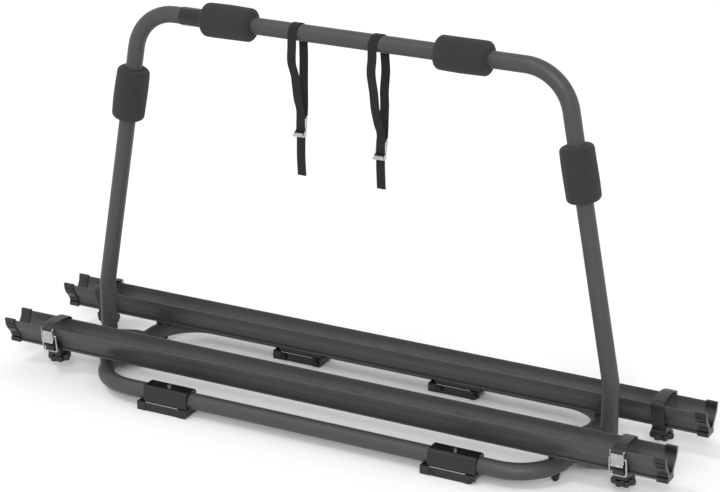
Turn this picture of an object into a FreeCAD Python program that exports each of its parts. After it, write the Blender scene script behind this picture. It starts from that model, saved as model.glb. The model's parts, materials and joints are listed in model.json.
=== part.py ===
"""Drawbar bike rack: a tube hoop on a flat tube loop, with two wheel rails, clamps, straps and pads.

Millimetres. X runs along the rails, Y across them, Z up. The origin is the middle of the rack on the
plane of the clamp feet. Each physical piece is its own solid, and each node is one STEP file.
"""
import FreeCAD
import Part
import math
import os

V = FreeCAD.Vector
X, Y, Z = V(1, 0, 0), V(0, 1, 0), V(0, 0, 1)

# Clearances
FIT = 0.05            # shaft in its hole, or a part sliding on its tube
SNUG = 0.1            # bolt in its hole, lining against its seat
CLEAR = 0.3           # between pieces that must not touch
FACET = 0.03          # a polygon's flats lie this far inside its circle

# Frame tubes
TUBE_R = 15.0
TUBE_WALL = 2.0
LEG_X = 506.0
LEG_STANDOFF = 51.5   # from the loop's end tube out to the leg
LOOP_Z = 29.0
LOOP_X = LEG_X - LEG_STANDOFF
LOOP_Y = 154.0        # loop's centre line, half depth
LOOP_R = 87.0
LEG_END_Z = 3.0
KINK_Z = 151.0
KINK_R = 120.0
TOP_X = 407.5         # where the leaning leg's line meets the top bar's line
TOP_Z = 691.0
TOP_R = 84.0
PLUG_LIP = 2.0
PLUG_PROUD = 0.6
PLUG_STEM = 12.0

# Rails
RAIL_Y = 97.0
RAIL_Z = 49.5
RAIL_END = 651.0
RAIL_WALL = 2.5
RAIL_FLOOR = 9.0
FOOT_HALF = 11.5
FOOT_THICK = 3.5
RIM_ROUND = 1.0
# Outer face of one wall: distance from the rail's middle, height above the foot
RAIL_WALL_LINE = [(8.8, 3.5), (10.5, 10.4), (13.3, 17.0), (17.5, 22.7), (22.6, 29.3),
                  (25.7, 35.5), (26.9, 41.0), (28.0, 46.0)]

# End caps
CAP_SKIN = 2.2
CAP_LEN = 20.0
CAP_END = 3.0
CAP_RIB = 1.0
# Ribs on the cap: lowest height, highest height, least distance from the rail's middle
CAP_RIBS = [(36.5, 39.0, 26.5), (28.0, 30.5, 21.0), (12.0, 14.5, 12.0)]

# Rail bolts
POST_R = 12.8
BOLT_R = 4.0
BOLT_HEAD_R = 6.5
BOLT_HEAD_H = 4.4
HEAD_ROUND = 2.0
WASHER_R = 8.5
WASHER_H = 1.6
NUT_AF = 13.0
NUT_H = 6.5

# Leg brackets
PLATE = 4.0
BRACKET_HALF = 37.0
BRACKET_NOSE = 23.0
LEG_HEAD_H = 5.3
THREAD_END = 2.0      # how far a leg bolt stands out of its nut

# Clamps: place along the tube, side of the loop, corner radius at the jaw's right end
CLAMPS = [("front_left", -278.0, -1, 4.0), ("front_right", 290.0, -1, 14.0),
          ("rear_left", -171.0, 1, 4.0), ("rear_right", 155.0, 1, 14.0)]
SADDLE_HALF = 45.0
SADDLE_WALL = 3.0
SADDLE_R = TUBE_R + SADDLE_WALL
SKIRT_Z = 4.5
JAW_LUG = 12.0
JAW_WALL = 2.0
JAW_HALF = SADDLE_R + JAW_WALL
JAW_TOP = 16.0
LUG_LEN = 17.0
LUG_PROUD = 1.2
SLOT_TOP = 30.0
CROSS_R = 3.0
CROSS_Z = 8.0
CROSS_X = (-33.0, 36.0)
CROSS_HEAD_R = 4.2
CROSS_HEAD_H = 2.0
CROSS_NUT_AF = 10.0
CROSS_NUT_H = 4.0
CROSS_TAIL = 0.8      # how far the screw stands out of its nut
SET_R = 4.0
SET_PROUD = 3.5
SOCKET_AF = 4.0
SOCKET_DEEP = 2.0
JAW_HOLE_R = 4.0
JAW_HOLE_DEEP = 9.0
JAW_HOLE_X = (-49.5, 20.5)

# Foam pads and the sleeve
PAD_R = 30.0
PAD_LEN = 96.0
PAD_ROUND = 8.0
LEG_PAD_Z = {"left": 533.0, "right": 518.0}
TOP_PAD_X = 225.7
SLEEVE_GAP = 1.3      # between the sleeve and the left pad on the top bar
SLEEVE_LEN = 45.0
SLEEVE_WALL = 1.5

# Wheel straps: name, place along the rail, side of the rack
WHEEL_STRAPS = [("front_left", -555.0, -1), ("front_right", 572.0, -1),
                ("rear_left", -572.0, 1), ("rear_right", 566.0, 1)]
CARRIER_HALF = 13.0
CARRIER_Z = 38.0
CARRIER_IN = -16.4
CARRIER_OUT = 17.0
GRIP_OUT = FOOT_HALF + CLEAR
GRIP_IN = 9.7
GRIP_TOP = 55.5
FENCE = 3.0
FENCE_TOP = 64.0
NOSE_HALF = 7.0
NOSE_OUT = 24.0
NOSE_TIP = 2.5
NOSE_ROOT = 8.0
POCKET_FLOOR = 40.0
POCKET_LIP = 2.0
POCKET_TOP = 47.0
BAND_W = 22.0
BAND_T = 2.4
BAND_TOP_Z = 99.6
BAND_LOW_BEND = 53.0
BAND_HIGH_BEND = 86.0
BAND_OFF_RIM = 3.2
PIN_R = 2.0
LEVER_PIN_Y = 33.5
LEVER_PIN_Z = BAND_TOP_Z - PIN_R - FIT - BAND_T / 2
LEVER_TOE = (30.3, 64.5)
LEVER_W = 26.4
LEVER_T = 1.5
LEVER_START = 5.2
LEVER_PROUD = 3.0
LEVER_BACK = 2.6
LEVER_ARM = 24.0
LEVER_EYE_R = 3.4
BAIL_R = 1.3
BAIL_DOWN = 13.0
BAIL_BACK = 0.5
BAIL_HALF = 15.0
BAIL_FOOT = (21.5, 50.0)
KNOB_R = 14.5
KNOB_LOBES = 7
LOBE_R = 6.3
LOBE_STEP = 1.5
KNOB_REACH = 20.5
KNOB_Z = (24.0, 37.6)
STUD_TOP = 48.9

# Front layer of each frame strap: distance from the top bar's plane, height
STRAP_LINE_LEFT = [(-16.4, 636.0), (-6.0, 606.0), (-4.0, 580.0)]
STRAP_LINE_RIGHT = [(-16.4, 606.0), (-9.0, 576.0), (-2.0, 552.0)]
# Frame straps: name, place on the top bar, height of the buckle's pin, height of its cam, front layer
FRAME_STRAPS = [("left", -90.5, 535.0, 506.0, STRAP_LINE_LEFT),
                ("right", 66.0, 516.0, 488.0, STRAP_LINE_RIGHT)]
WEB_W = 17.0
WEB_T = 1.6
WEB_END_Z = 427.0
WEB_BEND_R = 30.0
WEB_MEET = 14.0       # from the buckle's pin up to where the front layer turns down
BUCKLE_Y = 12.0
BUCKLE_PIN_R = 1.5
BUCKLE_IN = 9.6
BUCKLE_T = 1.4
BUCKLE_GAP = 0.2      # each side of the cam and of the webbing's slot
CHEEK_FRONT = 11.5
CHEEK_BACK = 2.5
CHEEK_FOOT = 6.0
CHEEK_HEAD = 3.0
BASE_T = 1.2
BASE_UP = 7.0
CAM_PIN_R = 1.5
CAM_DRUM_R = 3.3
CAM_Y = BUCKLE_Y - 9.0
CAM_LIP = 1.5
WEB_FRONT_Y = BUCKLE_Y - 4.7

os.makedirs("parts", exist_ok=True)


def box(low_x, high_x, low_y, high_y, low_z, high_z):
    """A block between two corners."""
    return Part.makeBox(high_x - low_x, high_y - low_y, high_z - low_z, V(low_x, low_y, low_z))


def rod(radius, start, end):
    """A round bar between two points."""
    along = end - start
    return Part.makeCylinder(radius, along.Length, start, along)


def turned(profile):
    """A solid of revolution round the Z axis, from its outline as radius and height."""
    ring = [V(r, 0, z) for r, z in profile]
    return Part.Face(Part.makePolygon(ring + ring[:1])).revolve(V(0, 0, 0), Z, 360)


def fused(shapes):
    """One solid from touching shapes, without the seams between them."""
    if len(shapes) == 1:
        return shapes[0]
    return shapes[0].multiFuse(shapes[1:]).removeSplitter()


def mirrored_y(shape):
    """The same shape on the other side of the XZ plane."""
    return shape.mirror(V(0, 0, 0), Y)


def moved(shape, x=0.0, y=0.0, z=0.0):
    """A copy of the shape, shifted."""
    placed = shape.copy()
    placed.translate(V(x, y, z))
    return placed


def save(name, shapes):
    """Write one node: its separate solids in one STEP file."""
    solids = [solid for shape in shapes for solid in shape.Solids]
    Part.makeCompound(solids).exportStep("parts/" + name + ".step")


def bent_bar(path, bend_radii, radius, closed=False):
    """Round bar along straight lines, with a torus segment at each bend."""
    count = len(path)
    bends = {}
    for i in range(count) if closed else range(1, count - 1):
        before, here, after = path[i - 1], path[i], path[(i + 1) % count]
        d_in = (here - before).normalize()
        d_out = (after - here).normalize()
        turn = math.acos(max(-1.0, min(1.0, d_in.dot(d_out))))
        reach = bend_radii[i] * math.tan(turn / 2)
        inward = (d_out - d_in * d_in.dot(d_out)).normalize()
        bends[i] = (here - d_in * reach, here + d_out * reach, d_in, inward, turn)
    pieces = []
    for i, (start, end, d_in, inward, turn) in bends.items():
        disc = Part.Face(Part.Wire(Part.makeCircle(radius, start, d_in)))
        centre = start + inward * bend_radii[i]
        pieces.append(disc.revolve(centre, d_in.cross(inward), math.degrees(turn)))
    for i in range(count) if closed else range(count - 1):
        after = (i + 1) % count
        start = bends[i][1] if i in bends else path[i]
        end = bends[after][0] if after in bends else path[after]
        pieces.append(rod(radius, start, end))
    return fused(pieces)


def bent_tube(path, bend_radii, closed=False):
    """Frame tube along a path, hollow all the way."""
    outer = bent_bar(path, bend_radii, TUBE_R, closed)
    return outer.cut(bent_bar(path, bend_radii, TUBE_R - TUBE_WALL, closed))


def rounded_path(points, radii, step_deg=18.0):
    """Points along a flat path whose corners are arcs; radii holds one value per inner corner."""
    line = [points[0]]
    for i in range(1, len(points) - 1):
        (ax, az), (bx, bz), (cx, cz) = points[i - 1], points[i], points[i + 1]
        in_len, out_len = math.hypot(bx - ax, bz - az), math.hypot(cx - bx, cz - bz)
        ux, uz = (bx - ax) / in_len, (bz - az) / in_len
        wx, wz = (cx - bx) / out_len, (cz - bz) / out_len
        cross, dot = ux * wz - uz * wx, ux * wx + uz * wz
        turn = math.atan2(cross, dot)
        radius = radii[i - 1]
        reach = radius * math.tan(abs(turn) / 2)
        side = math.copysign(1.0, turn)
        mx, mz = bx - ux * reach - side * uz * radius, bz - uz * reach + side * ux * radius
        steps = max(1, int(math.ceil(abs(math.degrees(turn)) / step_deg)))
        for k in range(steps + 1):
            angle = turn * k / steps
            rx, rz = side * uz * radius, -side * ux * radius
            line.append((mx + rx * math.cos(angle) - rz * math.sin(angle),
                         mz + rx * math.sin(angle) + rz * math.cos(angle)))
    line.append(points[-1])
    return line


def arc_points(centre, radius, from_deg, to_deg, steps):
    """Points on an arc in a flat plane."""
    angles = [math.radians(from_deg + (to_deg - from_deg) * k / steps) for k in range(steps + 1)]
    return [(centre[0] + radius * math.cos(a), centre[1] + radius * math.sin(a)) for a in angles]


def ribbon(line, thickness, width):
    """A flat strap: the (y, z) line thickened both ways and given a width along X."""
    left, right = [], []
    for i, (y, z) in enumerate(line):
        before, after = line[max(i - 1, 0)], line[min(i + 1, len(line) - 1)]
        dy, dz = after[0] - before[0], after[1] - before[1]
        length = math.hypot(dy, dz)
        ny, nz = -dz / length * thickness / 2, dy / length * thickness / 2
        left.append((y + ny, z + nz))
        right.append((y - ny, z - nz))
    return slab(left + right[::-1], width / 2)


def slab(profile, half_width):
    """A (y, z) outline given a width along X, centred on x = 0."""
    ring = [V(-half_width, y, z) for y, z in profile]
    return Part.Face(Part.makePolygon(ring + ring[:1])).extrude(V(2 * half_width, 0, 0))


def hex_prism(across_flats, height, base, along):
    """A hexagonal nut blank standing on a point, with its ends chamfered by a cone."""
    corner_r = across_flats / math.sqrt(3.0)
    ring = [V(corner_r * math.cos(math.radians(60 * k)), corner_r * math.sin(math.radians(60 * k)), 0)
            for k in range(7)]
    prism = Part.Face(Part.makePolygon(ring)).extrude(V(0, 0, height))
    prism.Placement = FreeCAD.Placement(base, FreeCAD.Rotation(Z, along))
    return prism


def frame_tubes():
    """The hoop, its two plugs, its sleeve and the flat loop, with the holes for their bolts."""
    hoop_path = [V(-LEG_X, 0, LEG_END_Z), V(-LEG_X, 0, KINK_Z), V(-TOP_X, 0, TOP_Z),
                 V(TOP_X, 0, TOP_Z), V(LEG_X, 0, KINK_Z), V(LEG_X, 0, LEG_END_Z)]
    hoop = bent_tube(hoop_path, [0, KINK_R, TOP_R, TOP_R, KINK_R, 0])
    loop_path = [V(-LOOP_X, -LOOP_Y, LOOP_Z), V(LOOP_X, -LOOP_Y, LOOP_Z),
                 V(LOOP_X, LOOP_Y, LOOP_Z), V(-LOOP_X, LOOP_Y, LOOP_Z)]
    loop = bent_tube(loop_path, [LOOP_R] * 4, closed=True)
    for side in (-1, 1):
        hole = rod(BOLT_R + SNUG, V(side * (LOOP_X - 2 * TUBE_R), 0, LOOP_Z),
                   V(side * (LEG_X + 2 * TUBE_R), 0, LOOP_Z))
        hoop = hoop.cut(hole)
        loop = loop.cut(hole)
    for x, y in rail_bolt_places():
        loop = loop.cut(rod(BOLT_R + SNUG, V(x, y, 0), V(x, y, 2 * LOOP_Z)))
    bore = TUBE_R - TUBE_WALL
    plug = turned([(0, -PLUG_LIP), (TUBE_R + PLUG_PROUD, -PLUG_LIP), (TUBE_R + PLUG_PROUD, 0),
                   (bore, 0), (bore, PLUG_STEM), (0, PLUG_STEM)])
    plugs = [moved(plug, x=side * LEG_X, z=LEG_END_Z) for side in (-1, 1)]
    sleeve_x = -TOP_PAD_X - PAD_LEN / 2 - SLEEVE_GAP
    sleeve_ends = [V(sleeve_x - SLEEVE_LEN, 0, TOP_Z), V(sleeve_x, 0, TOP_Z)]
    sleeve = rod(TUBE_R + FIT + SLEEVE_WALL, *sleeve_ends).cut(rod(TUBE_R + FIT, *sleeve_ends))
    save("hoop_tube", [hoop])
    save("base_loop", [loop])
    save("leg_plugs", plugs)
    save("hoop_sleeve", [sleeve])


def rail_bolt_places():
    """Where a rail crosses the loop's corner curve, four times."""
    centre_x, centre_y = LOOP_X - LOOP_R, LOOP_Y - LOOP_R
    x = centre_x + math.sqrt(LOOP_R ** 2 - (RAIL_Y - centre_y) ** 2)
    return [(sx * x, sy * RAIL_Y) for sy in (-1, 1) for sx in (-1, 1)]


def rail_section(grow):
    """The rail's cross-section in the YZ plane at x = 0, with every face pushed out by grow."""
    outer, inner = [], []
    for i, (y, z) in enumerate(RAIL_WALL_LINE):
        below = RAIL_WALL_LINE[max(i - 1, 0)]
        above = RAIL_WALL_LINE[min(i + 1, len(RAIL_WALL_LINE) - 1)]
        dy, dz = above[0] - below[0], above[1] - below[1]
        length = math.hypot(dy, dz)
        ny, nz = dz / length, -dy / length
        outer.append((y + ny * grow, z + nz * grow))
        inner.append((y - ny * (RAIL_WALL + grow), z - nz * (RAIL_WALL + grow)))
    rim = RAIL_WALL_LINE[-1][1] + grow
    outer[0] = (RAIL_WALL_LINE[0][0] + grow, FOOT_THICK + grow)
    outer[-1] = (RAIL_WALL_LINE[-1][0] + grow, rim)
    inner[-1] = (RAIL_WALL_LINE[-1][0] - RAIL_WALL - grow, rim)
    inner = inner[1:]
    inner[0] = (inner[0][0] - 0.4, RAIL_FLOOR + grow)
    rim_mid = ((outer[-1][0] + inner[-1][0]) / 2, rim + RIM_ROUND)

    def at(point, side):
        return V(0, side * point[0], point[1])

    edges = []
    for side in (1, -1):
        for line in (outer, inner):
            curve = Part.BSplineCurve()
            curve.interpolate([at(point, side) for point in line])
            edges.append(curve.toShape())
        edges.append(Part.Arc(at(outer[-1], side), at(rim_mid, side), at(inner[-1], side)).toShape())
        foot = [outer[0], (FOOT_HALF + grow, FOOT_THICK + grow), (FOOT_HALF + grow, -grow)]
        for first, second in zip(foot, foot[1:]):
            edges.append(Part.makeLine(at(first, side), at(second, side)))
    edges.append(Part.makeLine(at(inner[0], -1), at(inner[0], 1)))
    edges.append(Part.makeLine(at(foot[-1], -1), at(foot[-1], 1)))
    return Part.Face(Part.Wire(Part.__sortEdges__(edges)))


def rail(side):
    """One wheel rail with its two bolt holes."""
    body = moved(rail_section(0.0), -RAIL_END, side * RAIL_Y, RAIL_Z).extrude(V(2 * RAIL_END, 0, 0))
    for x, y in rail_bolt_places():
        if y * side > 0:
            body = body.cut(rod(BOLT_R + SNUG, V(x, y, RAIL_Z - 1), V(x, y, RAIL_Z + RAIL_FLOOR + 1)))
    return body


def end_cap():
    """Cap for the right end of a rail on y = 0: a sleeve over the wall's edges, the trough left open."""
    start = RAIL_END + CAP_END - CAP_LEN
    skin = moved(rail_section(CAP_SKIN), start, 0, RAIL_Z).extrude(V(CAP_LEN, 0, 0))
    proud = moved(rail_section(CAP_SKIN + CAP_RIB), start + 3, 0, RAIL_Z).extrude(V(CAP_LEN - 4.5, 0, 0))
    ribs = []
    for low, high, least in CAP_RIBS:
        for side in (-1, 1):
            near, far = sorted((side * least, side * 60.0))
            band = box(0, RAIL_END + CAP_LEN, near, far, RAIL_Z + low, RAIL_Z + high)
            ribs.append(proud.common(band))
    seat = moved(rail_section(FIT), start - 1, 0, RAIL_Z).extrude(V(RAIL_END + FIT - start + 1, 0, 0))
    return fused([skin] + ribs).cut(seat)


def rails_and_caps():
    """Both rails, their four caps, and the posts, bolts and nuts that hold them on the loop."""
    save("front_rail", [rail(-1)])
    save("rear_rail", [rail(1)])
    right = end_cap()
    left = right.mirror(V(0, 0, 0), X)
    for row, side in (("front", -1), ("rear", 1)):
        save("cap_" + row + "_right", [moved(right, y=side * RAIL_Y)])
        save("cap_" + row + "_left", [moved(left, y=side * RAIL_Y)])
    corner = bent_bar([V(LOOP_X, 0, LOOP_Z), V(LOOP_X, LOOP_Y, LOOP_Z), V(0, LOOP_Y, LOOP_Z)],
                      [0, LOOP_R, 0], TUBE_R)
    bolt_x, bolt_y = max(rail_bolt_places())
    post = rod(POST_R, V(bolt_x, bolt_y, LOOP_Z), V(bolt_x, bolt_y, RAIL_Z)).cut(corner)
    post = post.cut(rod(BOLT_R + SNUG, V(bolt_x, bolt_y, 0), V(bolt_x, bolt_y, RAIL_Z + 1)))
    floor = RAIL_Z + RAIL_FLOOR
    tube_bottom = LOOP_Z - TUBE_R
    nut_top = tube_bottom - WASHER_H
    dome = arc_points((BOLT_HEAD_R - HEAD_ROUND, BOLT_HEAD_H - HEAD_ROUND), HEAD_ROUND, 0, 90, 6)
    bolt = turned([(0, nut_top - NUT_H - floor), (BOLT_R, nut_top - NUT_H - floor), (BOLT_R, 0),
                   (BOLT_HEAD_R, 0)] + dome + [(0, BOLT_HEAD_H)])
    bolt = moved(bolt, bolt_x, bolt_y, floor)
    cap_r = NUT_AF / 2 - 0.5
    flange = turned([(BOLT_R, 0), (WASHER_R, 0), (WASHER_R, WASHER_H), (BOLT_R, WASHER_H)])
    dome = turned([(0, 0), (cap_r, 0)] + arc_points((0, 0), cap_r, 0, -90, 8)[1:])
    nut = hex_prism(NUT_AF, NUT_H, V(0, 0, -NUT_H), Z).cut(rod(BOLT_R, V(0, 0, -NUT_H), V(0, 0, 0)))
    nut = moved(fused([flange, nut, moved(dome, z=-NUT_H)]), bolt_x, bolt_y, nut_top)
    for name, piece in (("rail_spacers", post), ("rail_bolts", bolt), ("rail_nuts", nut)):
        copies = [piece, mirrored_y(piece)]
        copies += [shape.mirror(V(0, 0, 0), X) for shape in copies]
        save(name, copies)


def leg_brackets():
    """Right bracket: a plate folded round the loop's end tube, its flanges holding the leg."""
    inner_r = TUBE_R + FIT
    outer_r = inner_r + PLATE
    fold = rod(outer_r, V(LOOP_X, -BRACKET_HALF, LOOP_Z), V(LOOP_X, BRACKET_HALF, LOOP_Z))
    fold = fold.cut(box(LOOP_X, LOOP_X + outer_r, -BRACKET_HALF, BRACKET_HALF, LOOP_Z - outer_r,
                        LOOP_Z + outer_r))
    flat = Part.makePolygon([V(LOOP_X, -BRACKET_HALF, 0), V(LOOP_X, BRACKET_HALF, 0),
                             V(LOOP_X + TUBE_R, BRACKET_HALF, 0), V(LEG_X, BRACKET_NOSE, 0),
                             V(LEG_X, -BRACKET_NOSE, 0), V(LOOP_X + TUBE_R, -BRACKET_HALF, 0),
                             V(LOOP_X, -BRACKET_HALF, 0)])
    flange = fused([Part.Face(flat).extrude(V(0, 0, PLATE)),
                    Part.makeCylinder(BRACKET_NOSE, PLATE, V(LEG_X, 0, 0))])
    plate = fused([fold, moved(flange, z=LOOP_Z + inner_r), moved(flange, z=LOOP_Z - outer_r)])
    plate = plate.cut(rod(inner_r, V(LOOP_X, -BRACKET_HALF - 1, LOOP_Z),
                          V(LOOP_X, BRACKET_HALF + 1, LOOP_Z)))
    plate = plate.cut(rod(TUBE_R + SNUG, V(LEG_X, 0, 0), V(LEG_X, 0, 2 * LOOP_Z)))
    shank = rod(BOLT_R + SNUG, V(LOOP_X - 2 * TUBE_R, 0, LOOP_Z), V(LEG_X + 2 * TUBE_R, 0, LOOP_Z))
    plate = plate.cut(shank)
    sleeve = rod(2 * BOLT_R, V(LOOP_X, 0, LOOP_Z), V(LEG_X, 0, LOOP_Z)).cut(shank)
    sleeve = sleeve.cut(rod(TUBE_R, V(LOOP_X, -TUBE_R, LOOP_Z), V(LOOP_X, TUBE_R, LOOP_Z)))
    sleeve = sleeve.cut(rod(TUBE_R, V(LEG_X, 0, 0), V(LEG_X, 0, 2 * LOOP_Z)))
    outside = LEG_X + TUBE_R
    inside = LOOP_X - outer_r
    head = hex_prism(NUT_AF, LEG_HEAD_H, V(outside + WASHER_H, 0, LOOP_Z), X)
    disc = rod(WASHER_R, V(outside, 0, LOOP_Z), V(outside + WASHER_H, 0, LOOP_Z))
    thread_end = inside - WASHER_H - NUT_H - THREAD_END
    bolt = fused([head, disc, rod(BOLT_R, V(thread_end, 0, LOOP_Z), V(outside + 1, 0, LOOP_Z))])
    nut = fused([rod(WASHER_R, V(inside - WASHER_H, 0, LOOP_Z), V(inside, 0, LOOP_Z)),
                 hex_prism(NUT_AF, NUT_H, V(inside - WASHER_H - NUT_H, 0, LOOP_Z), X)])
    nut = nut.cut(rod(BOLT_R, V(inside - 3 * NUT_H, 0, LOOP_Z), V(LOOP_X, 0, LOOP_Z)))
    save("leg_bracket_right", [plate])
    save("leg_bracket_left", [plate.mirror(V(0, 0, 0), X)])
    for name, piece in (("leg_spacers", sleeve), ("leg_bolts", bolt), ("leg_nuts", nut)):
        save(name, [piece, piece.mirror(V(0, 0, 0), X)])


def clamp(name, x, side, corner):
    """One clamp on the loop's long tube, built round the tube's axis over x = 0, y = 0."""
    bore = rod(TUBE_R + FIT, V(-2 * SADDLE_HALF, 0, LOOP_Z), V(2 * SADDLE_HALF, 0, LOOP_Z))
    arch = rod(SADDLE_R, V(-SADDLE_HALF, 0, LOOP_Z), V(SADDLE_HALF, 0, LOOP_Z))
    skirt = box(-SADDLE_HALF, SADDLE_HALF, -SADDLE_R, SADDLE_R, SKIRT_Z, LOOP_Z)
    hollow = box(-SADDLE_HALF, SADDLE_HALF, -TUBE_R - FIT, TUBE_R + FIT, 0, LOOP_Z)
    saddle = fused([arch.cut(box(-SADDLE_HALF, SADDLE_HALF, -SADDLE_R, SADDLE_R, 0, LOOP_Z)), skirt])
    saddle = saddle.cut(bore).cut(hollow)
    jaw = box(-SADDLE_HALF - JAW_LUG, SADDLE_HALF, -JAW_HALF, JAW_HALF, 0, JAW_TOP)
    lugs = [box(low, low + LUG_LEN, -JAW_HALF - LUG_PROUD, JAW_HALF + LUG_PROUD, 0, JAW_TOP)
            for low in (-SADDLE_HALF - JAW_LUG, SADDLE_HALF - LUG_LEN)]
    jaw = fused([jaw] + lugs)
    ends = [edge for edge in jaw.Edges if abs(edge.CenterOfMass.x - SADDLE_HALF) < 0.1
            and edge.CenterOfMass.z < 0.1]
    jaw = jaw.makeFillet(corner, ends)
    for level in (-1, 1):
        near, far = sorted((level * (TUBE_R + FIT - SNUG), level * (SADDLE_R + SNUG)))
        jaw = jaw.cut(box(-SADDLE_HALF - SNUG, SADDLE_HALF + 1, near, far, SKIRT_Z - SNUG, SLOT_TOP))
    jaw = jaw.cut(bore)
    screws = []
    for cross_x in CROSS_X:
        reach = JAW_HALF + LUG_PROUD if cross_x > SADDLE_HALF - LUG_LEN else JAW_HALF
        hole = rod(CROSS_R + SNUG, V(cross_x, -2 * JAW_HALF, CROSS_Z), V(cross_x, 2 * JAW_HALF, CROSS_Z))
        saddle = saddle.cut(hole)
        jaw = jaw.cut(hole)
        head = Part.makeCone(CROSS_HEAD_R, CROSS_R, CROSS_HEAD_H, V(cross_x, -reach, CROSS_Z), -Y)
        tail = reach + CROSS_NUT_H + CROSS_TAIL
        shank = rod(CROSS_R, V(cross_x, -reach, CROSS_Z), V(cross_x, tail, CROSS_Z))
        nut = hex_prism(CROSS_NUT_AF, CROSS_NUT_H, V(cross_x, reach, CROSS_Z), Y)
        screws.append(fused([head, shank, nut]))
    for hole_x in JAW_HOLE_X:
        jaw = jaw.cut(rod(JAW_HOLE_R, V(hole_x, 0, 0), V(hole_x, 0, JAW_HOLE_DEEP)))
    top = LOOP_Z + SADDLE_R
    saddle = saddle.cut(rod(SET_R, V(0, 0, LOOP_Z), V(0, 0, top + 1)))
    socket = hex_prism(SOCKET_AF, SOCKET_DEEP, V(0, 0, top + SET_PROUD - SOCKET_DEEP), Z)
    screws.append(rod(SET_R, V(0, 0, LOOP_Z + TUBE_R + CLEAR), V(0, 0, top + SET_PROUD)).cut(socket))
    for node, shapes in (("clamp_saddle_", [saddle]), ("clamp_jaw_", [jaw]), ("clamp_fixings_", screws)):
        placed = [shape if side < 0 else mirrored_y(shape) for shape in shapes]
        save(node + name, [moved(shape, x, side * LOOP_Y) for shape in placed])


def foam_pads():
    """Four foam rolls, each on the tube's straight stretch that it wraps."""
    half = PAD_LEN / 2
    outline = rounded_path([(TUBE_R + FIT, -half), (PAD_R, -half), (PAD_R, half), (TUBE_R + FIT, half)],
                           [PAD_ROUND, PAD_ROUND], 30.0)
    roll = turned(outline)
    lean = V(TOP_X - LEG_X, 0, TOP_Z - KINK_Z)
    for name, side in (("left", -1), ("right", 1)):
        share = (LEG_PAD_Z[name] - KINK_Z) / (TOP_Z - KINK_Z)
        centre = V(side * (LEG_X + share * lean.x), 0, LEG_PAD_Z[name])
        along = V(side * lean.x, 0, lean.z)
        leg_pad = roll.copy()
        leg_pad.Placement = FreeCAD.Placement(centre, FreeCAD.Rotation(Z, along))
        save("pad_leg_" + name, [leg_pad])
        top_pad = roll.copy()
        top_pad.Placement = FreeCAD.Placement(V(side * TOP_PAD_X, 0, TOP_Z), FreeCAD.Rotation(Z, X))
        save("pad_top_" + name, [top_pad])


def carrier():
    """Block under the rail's foot: grips the flange, holds the band's end and the bail's nose."""
    slot_low = RAIL_Z - CLEAR
    slot_top = RAIL_Z + FOOT_THICK + CLEAR
    lip_in = CARRIER_IN - SNUG - BAND_T - SNUG
    grip = [(CARRIER_IN, GRIP_TOP), (-GRIP_IN, GRIP_TOP), (-GRIP_IN, slot_top), (-GRIP_OUT, slot_top),
            (-GRIP_OUT, slot_low), (GRIP_OUT, slot_low), (GRIP_OUT, slot_top), (GRIP_IN, slot_top),
            (GRIP_IN, GRIP_TOP)]
    fence = [(CARRIER_OUT - FENCE, GRIP_TOP), (CARRIER_OUT - FENCE, FENCE_TOP), (CARRIER_OUT, FENCE_TOP),
             (CARRIER_OUT, CARRIER_Z)]
    pocket = [(lip_in - POCKET_LIP, CARRIER_Z), (lip_in - POCKET_LIP, POCKET_TOP), (lip_in, POCKET_TOP),
              (lip_in, POCKET_FLOOR), (CARRIER_IN, POCKET_FLOOR)]
    nose_low = BAIL_FOOT[1] + BAIL_R + CLEAR
    nose = [(CARRIER_OUT, nose_low), (NOSE_OUT, nose_low), (NOSE_OUT, nose_low + NOSE_TIP),
            (CARRIER_OUT, nose_low + NOSE_ROOT)]
    pieces = [slab(grip + fence + pocket, CARRIER_HALF), slab(nose, NOSE_HALF)]
    return fused(pieces).cut(rod(BOLT_R + FIT, V(0, 0, 0), V(0, 0, RAIL_Z)))


def band():
    """The wheel strap's band: from the carrier's pocket over both rims and round the lever's pin."""
    y_low = CARRIER_IN - SNUG - BAND_T / 2
    beside = -RAIL_WALL_LINE[-1][0] - BAND_OFF_RIM
    line = rounded_path([(y_low, POCKET_FLOOR + SNUG), (y_low, BAND_LOW_BEND), (beside, BAND_HIGH_BEND),
                         (beside, BAND_TOP_Z), (LEVER_PIN_Y, BAND_TOP_Z)], [14.0, 22.0, 7.0])
    eye_r = PIN_R + FIT + FACET + BAND_T / 2
    line = line[:-1] + arc_points((LEVER_PIN_Y, LEVER_PIN_Z), eye_r, 90, -165, 17)
    return ribbon(line, BAND_T, BAND_W)


def lever_frame():
    """Placement whose origin is the lever's pin, +Z runs down the lever and +Y stands out of it."""
    down = V(0, LEVER_TOE[0] - LEVER_PIN_Y, LEVER_TOE[1] - LEVER_PIN_Z).normalize()
    out = V(0, -down.z, down.y)
    return V(0, LEVER_PIN_Y, LEVER_PIN_Z), down, out


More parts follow.
